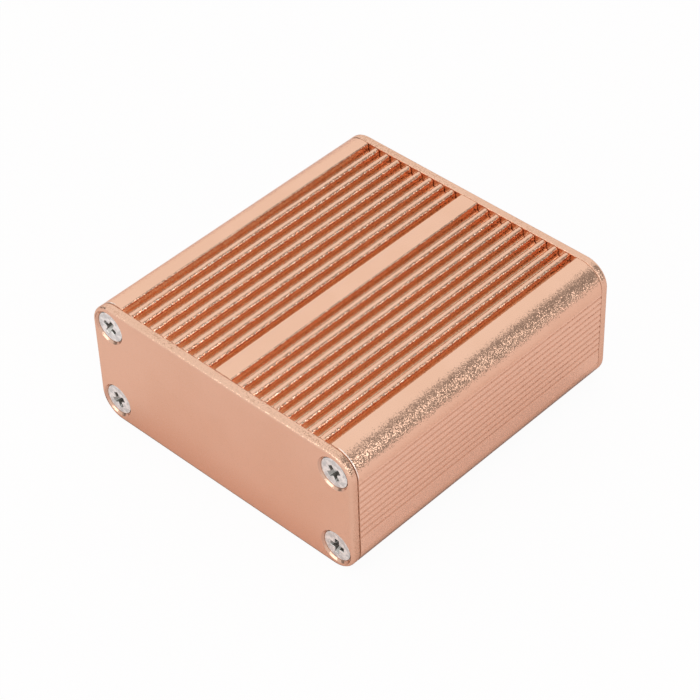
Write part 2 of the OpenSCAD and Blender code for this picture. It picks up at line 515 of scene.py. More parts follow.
def groove_wall_up(outline, x):
    """From a groove's floor up its left wall to the flat beyond."""
    floor = CASE_H - GROOVE_DEPTH
    outline.line(x + GROOVE_FILLET, floor)
    outline.arc(x + GROOVE_FILLET, floor + GROOVE_FILLET, GROOVE_FILLET, -90, -180)
    outline.line(x, CASE_H - GROOVE_LIP)
    outline.arc(x - GROOVE_LIP, CASE_H - GROOVE_LIP, GROOVE_LIP, 0, 90)


def groove_wall_down(outline, x):
    """From a flat down a groove's right wall to the middle of its floor."""
    floor = CASE_H - GROOVE_DEPTH
    outline.line(x + GROOVE_LIP, CASE_H)
    outline.arc(x + GROOVE_LIP, CASE_H - GROOVE_LIP, GROOVE_LIP, 90, 180)
    outline.line(x, floor + GROOVE_FILLET)
    outline.arc(x - GROOVE_FILLET, floor + GROOVE_FILLET, GROOVE_FILLET, 0, -90)
    outline.line(x - GROOVE_W / 2, floor)


def spine():
    """The plain flat between the two groups of ribs."""
    outline = Outline(SPINE_W / 2 + GROOVE_W / 2, CASE_H - GROOVE_DEPTH)
    groove_wall_up(outline, SPINE_W / 2)
    groove_wall_down(outline, -SPINE_W / 2)
    return outline


def shoulders():
    """The rounded upper edges with the flats beside them, on the right and on the left."""
    lines_end = LINE_LOWEST + (LINE_COUNT - 1) * LINE_PITCH + LINE_PITCH / 2
    right = Outline(CASE_W / 2, lines_end)
    right.line(CASE_W / 2, CASE_H - CORNER_R)
    right.arc(CASE_W / 2 - CORNER_R, CASE_H - CORNER_R, CORNER_R, 0, 90)
    groove_wall_down(right, GROUP_END)
    left = Outline(GROOVE_W / 2 - GROUP_END, CASE_H - GROOVE_DEPTH)
    groove_wall_up(left, -GROUP_END)
    left.line(CORNER_R - CASE_W / 2, CASE_H)
    left.arc(CORNER_R - CASE_W / 2, CASE_H - CORNER_R, CORNER_R, 90, 180)
    left.line(-CASE_W / 2, lines_end)
    return [right, left]


def underside():
    """The plain underside with the rounded lower edges."""
    lines_end = LINE_LOWEST - LINE_PITCH / 2
    outline = Outline(-CASE_W / 2, lines_end)
    outline.line(-CASE_W / 2, CORNER_R)
    outline.arc(CORNER_R - CASE_W / 2, CORNER_R, CORNER_R, 180, 270)
    outline.line(CASE_W / 2 - CORNER_R, 0)
    outline.arc(CASE_W / 2 - CORNER_R, CORNER_R, CORNER_R, 270, 360)
    outline.line(CASE_W / 2, lines_end)
    return outline


def channel(outline, z, start):
    """A screw channel of the left side: a quarter round from a start angle, with a slit in its middle."""
    slit = start + 45
    outer_half = math.degrees(math.asin(CHANNEL_SLIT / 2 / CHANNEL_R))
    bore_half = math.degrees(math.asin(CHANNEL_SLIT / 2 / BORE_R))
    outline.arc(-SCREW_X, z, CHANNEL_R, start, slit - outer_half)
    outline.end_break = BORE_MOUTH
    outline.arc(-SCREW_X, z, BORE_R, slit - bore_half, slit + bore_half - 360)
    outline.end_break = SLEEVE_BREAK
    outline.arc(-SCREW_X, z, CHANNEL_R, slit + outer_half, start + 90)


def inside():
    """The hollow of the sleeve, with its screw channels and board rails."""
    wall = SIDE_T - CASE_W / 2
    roof = CASE_H - GROOVE_DEPTH - ROOF_T
    rail_step = SLOT_W + RAIL_T
    rail_low = CASE_H / 2 - SLOT_COUNT / 2 * rail_step - RAIL_T / 2
    half = Outline(0, FLOOR_T)
    half.line(CHANNEL_R - SCREW_X, FLOOR_T)
    half.line(CHANNEL_R - SCREW_X, SCREW_LOW)
    channel(half, SCREW_LOW, 0)
    half.line(wall, SCREW_LOW + CHANNEL_R)
    for i in range(SLOT_COUNT + 1):
        z = rail_low + i * rail_step
        half.line(wall, z)
        half.line(wall + RAIL_REACH, z)
        half.line(wall + RAIL_REACH, z + RAIL_T)
        half.line(wall, z + RAIL_T)
    half.line(wall, SCREW_HIGH - CHANNEL_R)
    half.line(-SCREW_X, SCREW_HIGH - CHANNEL_R)
    channel(half, SCREW_HIGH, -90)
    half.line(CHANNEL_R - SCREW_X, roof)
    half.line(0, roof)
    return half.close_with_mirror()


# Outlines of an end plate

def plate_outline():
    """Outline of an end plate, flush with the sleeve."""
    outline = Outline(CASE_W / 2, CORNER_R)
    corners = [(1, 1, 0), (-1, 1, 90), (-1, -1, 180), (1, -1, 270)]
    for x, y, start in corners:
        centre_x = x * (CASE_W / 2 - CORNER_R)
        centre_y = CASE_H / 2 + y * (CASE_H / 2 - CORNER_R)
        turn = math.radians(start)
        outline.line(centre_x + CORNER_R * math.cos(turn), centre_y + CORNER_R * math.sin(turn))
        outline.arc(centre_x, centre_y, CORNER_R, start, start + 90)
    return outline.close()


def seat_outline():
    """Rim of a countersunk seat, walked with the hole on its right."""
    outline = Outline(SEAT_R, 0)
    outline.arc(0, 0, SEAT_R, 0, -360)
    return outline.close()


# Geometry node trees

def new_tree(name, inputs):
    """A geometry tree with named inputs. Returns its graph and a dictionary of the inputs."""
    tree = bpy.data.node_groups.new(name, "GeometryNodeTree")
    tree.interface.new_socket("Geometry", in_out="OUTPUT", socket_type="NodeSocketGeometry")
    for label, kind in {"Geometry": "Geometry", **inputs, "Material": "Material"}.items():
        tree.interface.new_socket(label, in_out="INPUT", socket_type="NodeSocket" + kind)
    graph = Graph(tree)
    group = graph.add("NodeGroupInput")
    return graph, {label: group[label] for label in ["Geometry", *inputs, "Material"]}


def end_tree(graph, geometry, material):
    """Closes a tree: real geometry with its material."""
    real = graph.add("GeometryNodeRealizeInstances", None, {"Geometry": geometry})
    finished = graph.add("GeometryNodeSetMaterial", None, {"Geometry": real, "Material": material})
    graph.add("NodeGroupOutput", None, {"Geometry": finished})
    return graph.tree


def named(graph, name, kind):
    return graph.add("GeometryNodeInputNamedAttribute", {"data_type": kind}, {"Name": name})


def copies_of(graph, helper, points):
    """Copies of a helper's outline on points, as real edges."""
    shape = graph.add("GeometryNodeObjectInfo", None, {"Object": helper})["Geometry"]
    copies = graph.add("GeometryNodeInstanceOnPoints", None, {"Points": points, "Instance": shape})
    return graph.add("GeometryNodeRealizeInstances", None, {"Geometry": copies})


def row_of(graph, helper, count, start, offset):
    """Copies of a helper's outline in a row."""
    line = graph.add("GeometryNodeMeshLine", {"mode": "OFFSET"},
                     {"Count": count, "Start Location": start, "Offset": offset})
    return copies_of(graph, helper, line)


def joined(graph, *pieces):
    """Pieces joined, with the points welded where they meet."""
    whole = graph.add("GeometryNodeJoinGeometry", None, {"Geometry": list(pieces)})
    return graph.add("GeometryNodeMergeByDistance", None, {"Geometry": whole, "Distance": WELD})


def flipped(graph, face):
    return graph.add("GeometryNodeFlipFaces", None, {"Mesh": face})


def keep_section(graph, section):
    """Stores where the section's points lie, before they are moved to a ring."""
    place = graph.add("GeometryNodeInputPosition")
    return graph.add("GeometryNodeStoreNamedAttribute", {"data_type": "FLOAT_VECTOR", "domain": "POINT"},
                     {"Geometry": section, "Name": "section", "Value": place})


def ring_at(graph, geometry, selection, height, inset):
    """Moves points to a ring of the section, at a height and drawn into the metal by an inset."""
    place = graph.vector("SUBTRACT", named(graph, "section", "FLOAT_VECTOR"),
                         graph.scaled(named(graph, "outward", "FLOAT_VECTOR"), inset))
    raised = graph.vector("ADD", place, graph.xyz(z=height))
    sockets = {"Geometry": geometry, "Position": raised}
    if selection:
        sockets["Selection"] = selection
    return graph.add("GeometryNodeSetPosition", None, sockets)


def ring_walls(graph, section, rings):
    """Walls that join the rings of a section, each ring a height and an inset."""
    walls = ring_at(graph, section, None, *rings[0])
    top = None
    for ring in rings[1:]:
        sockets = {"Mesh": walls, "Offset Scale": 0.0}
        if top:
            sockets["Selection"] = top
        extruded = graph.add("GeometryNodeExtrudeMesh", {"mode": "EDGES"}, sockets)
        top = extruded["Top"]
        walls = ring_at(graph, extruded["Mesh"], top, *ring)
    return walls


def flat_end(graph, outlines, height):
    """A flat face between outlines that lie in one plane."""
    curves = graph.add("GeometryNodeMeshToCurve", None, {"Mesh": outlines})
    face = graph.add("GeometryNodeFillCurve", {"mode": "TRIANGLES"}, {"Curve": curves})
    return graph.add("GeometryNodeSetPosition", None, {"Geometry": face, "Offset": graph.xyz(z=height)})


def rounding():
    """Steps of an edge rounded to a radius of one: how far each is drawn in, and how deep it lies."""
    angles = [math.pi / 2 * i / ROUND_STEPS for i in range(ROUND_STEPS + 1)]
    return [(1 - math.sin(angle), 1 - math.cos(angle)) for angle in angles]


def sleeve_tree():
    """The sleeve: a section with rows of ribs and fine lines, drawn out along the box."""
    graph, given = new_tree("extruded_sleeve", {
        "Rib": "Object", "Rib Count": "Int", "Rib Pitch": "Float", "First Rib": "Float", "Rib Top": "Float",
        "Right Line": "Object", "Left Line": "Object", "Line Count": "Int", "Line Pitch": "Float",
        "Lowest Line": "Float", "Width": "Float", "Length": "Float"})
    half_w = given["Width"] * 0.5
    group_l = (given["Rib Count"] - 1) * given["Rib Pitch"]
    rib_offset = graph.xyz(x=given["Rib Pitch"])
    line_offset = graph.xyz(y=given["Line Pitch"])
    rows = []
    for x in (given["First Rib"], -given["First Rib"] - group_l):
        start = graph.xyz(x, given["Rib Top"])
        rows.append(row_of(graph, given["Rib"], given["Rib Count"], start, rib_offset))
    for side, x in (("Right Line", half_w), ("Left Line", -half_w)):
        start = graph.xyz(x, given["Lowest Line"])
        rows.append(row_of(graph, given[side], given["Line Count"], start, line_offset))
    section = keep_section(graph, joined(graph, given["Geometry"], *rows))

    end = given["Length"] * 0.5
    end_break = named(graph, "end_break", "FLOAT")
    rear = [(depth * end_break - end, inset * end_break) for inset, depth in rounding()]
    front = [(end - depth * end_break, inset * end_break) for inset, depth in reversed(rounding())]
    walls = ring_walls(graph, section, rear + front)
    drawn_in = ring_at(graph, section, None, 0.0, end_break)
    front_face = flat_end(graph, drawn_in, end)
    rear_face = flipped(graph, flat_end(graph, drawn_in, -end))
    whole = joined(graph, walls, front_face, rear_face)
    laid = graph.add("GeometryNodeTransform", None, {"Geometry": whole, "Rotation": (math.pi / 2, 0, 0)})
    return end_tree(graph, laid, given["Material"])


def screw_grid(graph, given, height=0.0):
    """Points at the four screws of an end plate, at a height above its inner face."""
    grid = graph.add("GeometryNodeMeshGrid", None, {
        "Size X": given["Across"], "Size Y": given["Up"], "Vertices X": 2, "Vertices Y": 2})
    lift = graph.xyz(y=given["Middle"], z=height)
    return graph.add("GeometryNodeTransform", None, {"Geometry": grid, "Translation": lift})


def stood_up(graph, geometry, given):
    """Stands a plate or its screws upright at an end of the sleeve."""
    turn = graph.xyz(x=math.pi / 2, z=given["Turn"])
    return graph.add("GeometryNodeTransform", None, {
        "Geometry": geometry, "Rotation": turn, "Translation": given["Place"]})


def plate_tree():
    """An end plate: a rounded outline with an edge round each face, and countersunk seats in a grid."""
    graph, given = new_tree("end_plate", {
        "Seat": "Object", "Across": "Float", "Up": "Float", "Middle": "Float", "Thickness": "Float",
        "Edge Radius": "Float", "Inner Break": "Float", "Seat Depth": "Float", "Seat Lip": "Float",
        "Place": "Vector", "Turn": "Float"})
    seats = keep_section(graph, copies_of(graph, given["Seat"], screw_grid(graph, given)))
    rim = keep_section(graph, given["Geometry"])

    thickness = given["Thickness"]
    edge_r = given["Edge Radius"]
    inner_r = given["Inner Break"]
    inner = [(depth * inner_r, inset * inner_r) for inset, depth in rounding()]
    outer = [(thickness - depth * edge_r, inset * edge_r) for inset, depth in reversed(rounding())]
    rim_rings = [(0.0, inner_r + HOLD), *inner, *outer, (thickness, edge_r + HOLD)]
    lip = given["Seat Lip"]
    depth = given["Seat Depth"]
    seat_rings = [(0.0, -depth), (thickness - depth, -depth), (thickness - lip - HOLD, -lip - HOLD),
                  (thickness - lip, -lip), (thickness, lip), (thickness, lip + HOLD)]
    walls = [ring_walls(graph, rim, rim_rings), ring_walls(graph, seats, seat_rings)]

    def face(height, rim_inset, seat_inset):
        loops = graph.add("GeometryNodeJoinGeometry", None, {"Geometry": [
            ring_at(graph, rim, None, 0.0, rim_inset), ring_at(graph, seats, None, 0.0, seat_inset)]})
        return flat_end(graph, loops, height)

    outer_face = face(thickness, rim_rings[-1][1], seat_rings[-1][1])
    inner_face = flipped(graph, face(0.0, rim_rings[0][1], seat_rings[0][1]))
    whole = joined(graph, *walls, outer_face, inner_face)
    return end_tree(graph, stood_up(graph, whole, given), given["Material"])


def screw_tree():
    """The four screws of an end plate, each with its own turn."""
    graph, given = new_tree("plate_screws", {
        "Across": "Float", "Up": "Float", "Middle": "Float", "Face": "Float",
        "Place": "Vector", "Turn": "Float", **{corner: "Float" for corner in FRONT_TURNS}})
    points = screw_grid(graph, given, given["Face"])
    place = graph.split(graph.add("GeometryNodeInputPosition"))
    right = place["X"] > 0.0
    upper = place["Y"] > given["Middle"]
    lower_turn = given["Lower Left"] + right * (given["Lower Right"] - given["Lower Left"])
    upper_turn = given["Upper Left"] + right * (given["Upper Right"] - given["Upper Left"])
    own_turn = lower_turn + upper * (upper_turn - lower_turn)
    copies = graph.add("GeometryNodeInstanceOnPoints", None, {
        "Points": points, "Instance": given["Geometry"], "Rotation": graph.xyz(z=own_turn)})
    return end_tree(graph, stood_up(graph, copies, given), given["Material"])


def made_by(obj, tree, values):
    """Runs a geometry tree on an object and leaves the result as its plain mesh."""
    modifier = obj.modifiers.new(tree.name, "NODES")
    modifier.node_group = tree
    for item in tree.interface.items_tree:
        if item.in_out == "INPUT" and item.name in values:
            modifier[item.identifier] = values[item.name]
    depsgraph = bpy.context.evaluated_depsgraph_get()
    mesh = bpy.data.meshes.new_from_object(obj.evaluated_get(depsgraph))
    obj.modifiers.clear()
    obj.data = mesh
    for name in ("section", "outward", "end_break"):
        if name in mesh.attributes:
            mesh.attributes.remove(mesh.attributes[name])
    finish_normals(mesh)
    return obj


def finish_normals(mesh):
    """Turns the faces outwards and shades them smooth, apart from the sharp edges."""
    shell = bmesh.new()
    shell.from_mesh(mesh)
    bmesh.ops.recalc_face_normals(shell, faces=shell.faces)
    shell.to_mesh(mesh)
    shell.free()
    mesh.shade_smooth()
    mesh.set_sharp_from_angle(angle=SHARP_ANGLE)


# One screw

def neighbours(loop):
    """Each point of a loop with the next one round."""
    return list(zip(loop, loop[1:] + loop[:1]))


def skin(shell, rings):
    """Faces between rings with the same number of points."""
    for low, high in zip(rings, rings[1:]):
        for (a, b), (c, d) in zip(neighbours(low), neighbours(high)):
            shell.faces.new((a, b, d, c))


def ring(shell, points):
    return [shell.verts.new(point) for point in points]


def round_point(radius, turn, z):
    """A point round the screw's axis, with its turn as a share of the circle."""
    angle = 2 * math.pi * turn
    return radius * math.cos(angle), radius * math.sin(angle), z


def circle(shell, radius, z):
    return ring(shell, [round_point(radius, i / SCREW_SIDES, z) for i in range(SCREW_SIDES)])


def thread_ring(shell, z, height):
    """A ring round the thread, which reaches its height once in each turn and each pitch."""
    points = []
    for i in range(SCREW_SIDES):
        turn = i / SCREW_SIDES
        wave = abs(2 * ((z / THREAD_PITCH - turn) % 1) - 1)
        points.append(round_point(SHANK_R + height * wave, turn, z))
    return ring(shell, points)


def screw_outside(shell):
    """Rings from the flat of the head over its domed edge, cone and thread to the tip."""
    cone_end = -HEAD_RIM - (HEAD_R - SHANK_R)
    thread_end = TIP_L - SCREW_L
    rows = math.ceil((cone_end - thread_end) / (THREAD_PITCH / THREAD_STEPS))
    rings = [circle(shell, HEAD_R - HEAD_CROWN - HOLD, 0)]
    for inset, depth in rounding():
        rings.append(circle(shell, HEAD_R - inset * HEAD_CROWN, -depth * HEAD_ROUND))
    rings += [circle(shell, HEAD_R, -HEAD_RIM), circle(shell, SHANK_R, cone_end)]
    for i in range(1, rows):
        fade = min(1, i / THREAD_STEPS, (rows - i) / THREAD_STEPS)
        z = cone_end + (thread_end - cone_end) * i / rows
        rings.append(thread_ring(shell, z, (THREAD_R - SHANK_R) * fade))
    return rings + [circle(shell, SHANK_R, thread_end), circle(shell, TIP_R, -SCREW_L)]


def cross(reach, half, tip_r, fillet, z):
    """Points of a cross recess at one depth: four arms with rounded tips and filleted inner corners."""
    quarter = Outline(reach - tip_r, -half)
    quarter.arc(reach - tip_r, tip_r - half, tip_r, -90, 0, ROUND_STEPS)
    quarter.arc(reach - tip_r, half - tip_r, tip_r, 0, 90, ROUND_STEPS)
    quarter.arc(half + fillet, half + fillet, fillet, -90, -180, ROUND_STEPS)
    turned = [Matrix.Rotation(i * math.pi / 2, 2) @ p for i in range(4) for p in quarter.points]
    return [(p.x, p.y, z) for p in turned]


def screw_recess(shell):
    """Rings of the cross recess from the flat of the head over its broken edge to its foot."""
    rings = []
    for wider, z in ((RECESS_EDGE + HOLD, 0), (RECESS_EDGE, 0), (0, -RECESS_EDGE)):
        mouth = cross(RECESS_REACH + wider, RECESS_HALF + wider, RECESS_TIP_R, RECESS_FILLET, z)
        rings.append(ring(shell, mouth))
    foot = cross(RECESS_FOOT_REACH, RECESS_FOOT_HALF, RECESS_FOOT_TIP_R, RECESS_FOOT_FILLET, -RECESS_DEPTH)
    return rings + [ring(shell, foot)]


def screw_object():
    """A countersunk screw, with the face of its head at the origin and its point towards -Z."""
    shell = bmesh.new()
    outside = screw_outside(shell)
    skin(shell, outside)
    shell.faces.new(outside[-1])
    recess = screw_recess(shell)
    skin(shell, recess)
    point = shell.verts.new((0, 0, -RECESS_POINT))
    for a, b in neighbours(recess[-1]):
        shell.faces.new((a, b, point))
    rims = [shell.edges.get(pair) for loop in (outside[0], recess[0]) for pair in neighbours(loop)]
    bmesh.ops.triangle_fill(shell, edges=rims, use_beauty=True, normal=(0, 0, 1))

    shell.verts.index_update()
    sunk = {vert.index for loop in recess[2:] for vert in loop} | {point.index}
    mesh = bpy.data.meshes.new("screw")
    bmesh.ops.recalc_face_normals(shell, faces=shell.faces)
    shell.to_mesh(mesh)
    shell.free()
    depth = mesh.attributes.new("recess", "FLOAT", "POINT")
    depth.data.foreach_set("value", [float(i in sunk) for i in range(len(mesh.vertices))])
    own = mesh.attributes.new("own_place", "FLOAT_VECTOR", "POINT")
    own.data.foreach_set("vector", [part for vert in mesh.vertices for part in vert.co])
    return new_object("screw", mesh)


# Shader parts

def new_material(name):
    material = bpy.data.materials.new(name)
    material.use_nodes = True
    material.node_tree.nodes.clear()
    return material, Graph(material.node_tree)


def object_place(graph):
    return graph.add("ShaderNodeTexCoord")["Object"]


def surface_normal(graph):
    return graph.add("ShaderNodeNewGeometry")["Normal"]


def noise(graph, where, size, layers, fineness=0.5):
    """Noise with grains of about a size, and layers of finer grains that count more with the fineness."""
    return graph.add("ShaderNodeTexNoise", None, {
        "Vector": where, "Scale": 1 / size, "Detail": layers, "Roughness": fineness})


def blend(graph, factor, first, second):
    return graph.add("ShaderNodeMix", {"data_type": "RGBA"}, {
        "Factor_Float": factor, "A_Color": first, "B_Color": second})["Result"]


def specks(graph):
    """Small specks of a blasted surface, where painted glints go: 1 in them and 0 between them."""
    return noise(graph, object_place(graph), SPECK, layers=1).rise(SPECK_LOW, SPECK_HIGH)


# Tones of the sleeve, each from 0 to 1 by place, that lay painted shade, light, glints and a highlight on
# it, and its dark joint

def sunk_tone(place, clear, full):
    """A tone of the finned roof that starts at one depth and is full at another."""
    depth = place["Z"].fall(CASE_H - full, CASE_H - clear)
    in_group = abs(place["X"]) < GROUP_END
    above_floor = place["Z"] > CASE_H - GROOVE_DEPTH - HOLD
    return depth * in_group * above_floor


def groove_tone(place):
    """How far a point lies down in the grooves of the roof, from the ribs' round tips to the floor, where
    shade is painted.
    """
    return sunk_tone(place, GROOVE_CLEAR, GROOVE_FULL)


def flank_tone(place):
    """How far a point lies down the round tip of a rib, from its top to its flanks, where shade is painted.
    """
    return sunk_tone(place, RIB_DROP + FLANK_CLEAR, RIB_DROP + FLANK_FULL)


def painted_glint_tone(place):
    """Painted glints in specks on the flanks of the ribs that face the right."""
    facing = place.graph.split(surface_normal(place.graph))["X"]
    turned = facing.rise(SPARK_START, SPARK_FULL) * facing.fall(SPARK_FADE, SPARK_END)
    return turned * flank_tone(place) * specks(place.graph)


def groove_end_light_tone(place):
    """Painted light in the grooves where an end plate closes them."""
    closed = abs(place["Y"]).rise(SLEEVE_L / 2 - END_START, SLEEVE_L / 2 - END_FULL)
    return closed * groove_tone(place)


def side_depth(place):
    """How deep a point lies below the faces of the side walls."""
    return CASE_W / 2 - abs(place["X"])


def ridge_tone(place):
    """The side walls from the rounded lower edge up to the highest fine line, where light is painted."""
    above = place["Z"] > CORNER_R
    below = place["Z"] < CASE_H - LINE_TOP + LINE_W
    return above * below * (side_depth(place) < 2 * LINE_DEPTH)


def line_shade_tone(place):
    """How deep a point lies in the fine lines of the side walls, where shade is painted."""
    return side_depth(place).rise(0.0, LINE_DEPTH) * ridge_tone(place)


def under_shade_tone(place):
    """Painted shade on the lower rounded edges, where they turn under the box."""
    return place["Z"].fall(UNDER_DARK, UNDER_CLEAR) * place["Z"].rise(UNDER_END, UNDER_START)


def seam_tone(place, dark=SEAM_DARK, clear=SEAM_CLEAR):
    """The dark joint between the sleeve and an end plate, weaker on top."""
    away = abs(abs(place["Y"]) - SLEEVE_L / 2)
    strength = place["Z"].fall(CASE_H - CORNER_R / 2, CASE_H, SEAM_ON_TOP)
    return away.fall(dark, clear) * strength


def edge_highlight_tone(place):
    """Painted highlight on the rounded front end edge, where it runs over the sleeve's rounded upper edges.
    """
    away = place["Y"] + SLEEVE_L / 2
    edge = away.rise(EDGE_HIGHLIGHT_START, EDGE_HIGHLIGHT_FULL) * away.fall(EDGE_HIGHLIGHT_FADE, EDGE_HIGHLIGHT_END)
    out = CORNER_R - side_depth(place)
    up = place["Z"] - (CASE_H - CORNER_R)
    return edge * out.rise(0.0, EDGE_HIGHLIGHT_TURN) * up.rise(0.0, EDGE_HIGHLIGHT_TURN)


# Tones of the end plates, each from 0 to 1 by place, that lay painted shade and dark glints on them, and
# their dark joint

def low_shade_tone(place):
    """Painted shade on an end plate's face, by how low a point lies, from a third of its height down to its
    foot.
    """
    return place["Z"].fall(0.0, LOW_END)


def rim_dark_glint_tone(place):
    """Painted dark glints in specks on the rounded rim round an end plate's outer face."""
    face = SLEEVE_L / 2 + PLATE_T
    patches = noise(place.graph, object_place(place.graph), RIM_PATCH, layers=1)
    strength = specks(place.graph) * patches.rise(RIM_PATCH_LOW, RIM_PATCH_HIGH, RIM_LEAST)
    return abs(place["Y"]).fall(face - PLATE_EDGE_R, face) * strength


def off_screw(place):
    """How far a point of an end plate lies from the axis of the nearest screw."""
    across = abs(place["X"]) - SCREW_X
    up = abs(place["Z"] - SCREW_MIDDLE) - SCREW_SPACING / 2
    return place.graph.math("SQRT", across * across + up * up)


def seat_tone(place):
    """The countersunk seats, where shade is painted and the facets are smoother."""
    return off_screw(place) < SEAT_R


def gap_shade_tone(place):
    """Painted shade in the gap round the head of a screw."""
    return off_screw(place).fall(HEAD_R + GAP_DARK, HEAD_R + GAP_CLEAR)


def foot_shade_tone(place):
    """Painted shade on the lower edge of an end plate's face, above its underside."""
    return place["Z"].fall(FOOT_DARK, FOOT_CLEAR) * place["Z"].rise(0.0, FOOT_END)


def joint_tone(place):
    """The dark joint on an end plate, where less of it shows and none of it in the ends of the grooves."""
    in_groove = sunk_tone(place, JOINT_CLEAR, 2 * JOINT_CLEAR)
    return seam_tone(place, JOINT_DARK, JOINT_CLEAR) * (1 - in_groove)


# Materials

def metal(graph, tint, roughness, normal, sheen=WHITE):
    shader = graph.add("ShaderNodeBsdfPrincipled", None, {
        "Base Color": tint, "Metallic": 1.0, "Roughness": roughness, "Normal": normal,
        "Specular Tint": sheen})
    graph.add("ShaderNodeOutputMaterial", None, {"Surface": shader})


def anodised(name, tints, tones, machined=None):
    """Bead-blasted aluminium, anodised rose gold, with a dark joint and painted shade, light, glints and
    highlights where tones say so.
    """
    material, graph = new_material(name)
    where = object_place(graph)
    place = graph.split(where)
    cells = graph.add("ShaderNodeTexVoronoi", None, {"Vector": where, "Scale": 1 / FACET})["Color"]
    tilt = FACET_TILT * (1 - MACHINED_SMOOTH * machined(place)) if machined else FACET_TILT
    leaning = graph.scaled(graph.vector("SUBTRACT", cells, FACET_MIDDLE), tilt)
    facet = graph.unit(graph.vector("ADD", surface_normal(graph), leaning))
    cloud = noise(graph, where, CLOUD, layers=3)
    tint = blend(graph, cloud.rise(CLOUD_LOW, CLOUD_HIGH), *tints)
    for tone, colour in tones:
        tint = blend(graph, tone(place), tint, colour)
    grain = noise(graph, where, GRAIN, layers=1)
    bump = graph.add("ShaderNodeBump", None, {
        "Strength": 1.0, "Distance": GRAIN_RELIEF, "Height": grain, "Normal": facet})
    metal(graph, tint, BLASTED_ROUGH + CLOUD_ROUGH * cloud, bump, SHEEN_TINT)
    return material


def sleeve_finish():
    # Painted shade on the ribs' flanks, in the grooves, in the fine lines and on the lower edges; painted
    # light on the side walls and in the grooves' ends; painted glints, a painted highlight and the dark
    # joint
    return anodised("anodised_body", BODY_TINTS, [
        (flank_tone, FLANK_SHADE_TINT), (painted_glint_tone, FLANK_GLINT_TINT), (groove_tone, GROOVE_SHADE_TINT), (groove_end_light_tone, END_LIGHT_TINT),
        (ridge_tone, RIDGE_LIGHT_TINT), (line_shade_tone, LINE_SHADE_TINT), (under_shade_tone, UNDER_SHADE_TINT), (seam_tone, SEAM_TINT),
        (edge_highlight_tone, EDGE_HIGHLIGHT_TINT)])


def plate_finish():
    # Painted shade low on the face, in the seats, round the heads and on the lower edge; painted dark glints
    # on the rim; and the dark joint
    return anodised("anodised_plate", PLATE_TINTS, [
        (low_shade_tone, LOW_SHADE_TINT), (rim_dark_glint_tone, RIM_SHADE_SPECK_TINT), (seat_tone, SEAT_SHADE_TINT), (gap_shade_tone, GAP_SHADE_TINT),
        (foot_shade_tone, UNDER_SHADE_TINT), (joint_tone, SEAM_TINT)], machined=seat_tone)


def screw_finish():
    """Bright nickel plate on the screws, rougher in the cross recesses, where shade is painted."""
    material, graph = new_material("nickel_plate")
    own = graph.add("ShaderNodeAttribute", {"attribute_name": "own_place"})["Vector"]
    sunk = graph.add("ShaderNodeAttribute", {"attribute_name": "recess"})["Fac"]
    marks = noise(graph, own, MARK, layers=3, fineness=WEAR_FINENESS)
    patches = noise(graph, own, PATCH, layers=2, fineness=WEAR_FINENESS)
    plate = blend(graph, patches.rise(PATCH_LOW, PATCH_HIGH), DULL_NICKEL, BRIGHT_NICKEL)
    tint = blend(graph, sunk, plate, RECESS_SHADE_NICKEL)
    bump = graph.add("ShaderNodeBump", None, {"Strength": 1.0, "Distance": MARK_RELIEF, "Height": marks})
    metal(graph, tint, NICKEL_ROUGH + MARK_ROUGH * marks + RECESS_ROUGH * sunk, bump)
    return material


# Pieces

def build_sleeve():
    """The sleeve, from its outlines and the steps of its ribs and fine lines."""
    steps = {
        "Rib": outline_object("rib_step", [rib_step()]),
        "Right Line": outline_object("right_line_step", [line_step(1)]),
        "Left Line": outline_object("left_line_step", [line_step(-1)]),
    }
    sleeve = outline_object("sleeve", [spine(), *shoulders(), underside(), inside()])
    made_by(sleeve, sleeve_tree(), {
        **steps, "Rib Count": RIB_COUNT, "Rib Pitch": RIB_PITCH,
        "First Rib": SPINE_W / 2 + RIB_PITCH - RIB_W / 2, "Rib Top": CASE_H,
        "Line Count": LINE_COUNT, "Line Pitch": LINE_PITCH, "Lowest Line": LINE_LOWEST,
        "Width": CASE_W, "Length": SLEEVE_L, "Material": sleeve_finish()})
    for helper in steps.values():
        bpy.data.objects.remove(helper)
    return [(sleeve, "body", "anodised_body")]


def build_ends():
    """The end plates with their screws, at the front and at the rear."""
    plate_shape, screw_shape = plate_tree(), screw_tree()
    plate_metal, screw_metal = plate_finish(), screw_finish()
    seat = outline_object("seat", [seat_outline()])
    screw = screw_object()
    grid = {"Across": 2 * SCREW_X, "Up": SCREW_SPACING, "Middle": SCREW_MIDDLE}
    ends = {"front": (-SLEEVE_L / 2, 0.0, FRONT_TURNS), "rear": (SLEEVE_L / 2, math.pi, REAR_TURNS)}
    pieces = []
    for end, (y, turn, recess_turns) in ends.items():
        stand = {**grid, "Place": (0, y, 0), "Turn": turn}
        plate = outline_object(end + "_end_plate", [plate_outline()])
        made_by(plate, plate_shape, {
            **stand, "Seat": seat, "Thickness": PLATE_T, "Edge Radius": PLATE_EDGE_R,
            "Inner Break": PLATE_BREAK, "Seat Depth": SEAT_R - HOLE_R, "Seat Lip": SEAT_LIP,
            "Material": plate_metal})
        pieces.append((plate, end + "_plate", "anodised_plate"))
        screws = new_object(end + "_plate_screws", screw.data.copy())
        made_by(screws, screw_shape, {
            **stand, "Face": PLATE_T - HEAD_RECESS, "Material": screw_metal,
            **{corner: math.radians(degrees) for corner, degrees in recess_turns.items()}})
        pieces.append((screws, end + "_screws", "screw_plating"))
    for helper in (seat, screw):
        bpy.data.objects.remove(helper)
    return pieces


def build_pieces():
    """All pieces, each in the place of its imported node."""
    for piece, node, slot in build_sleeve() + build_ends():
        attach(piece, "root")
        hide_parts(node)


# Stage

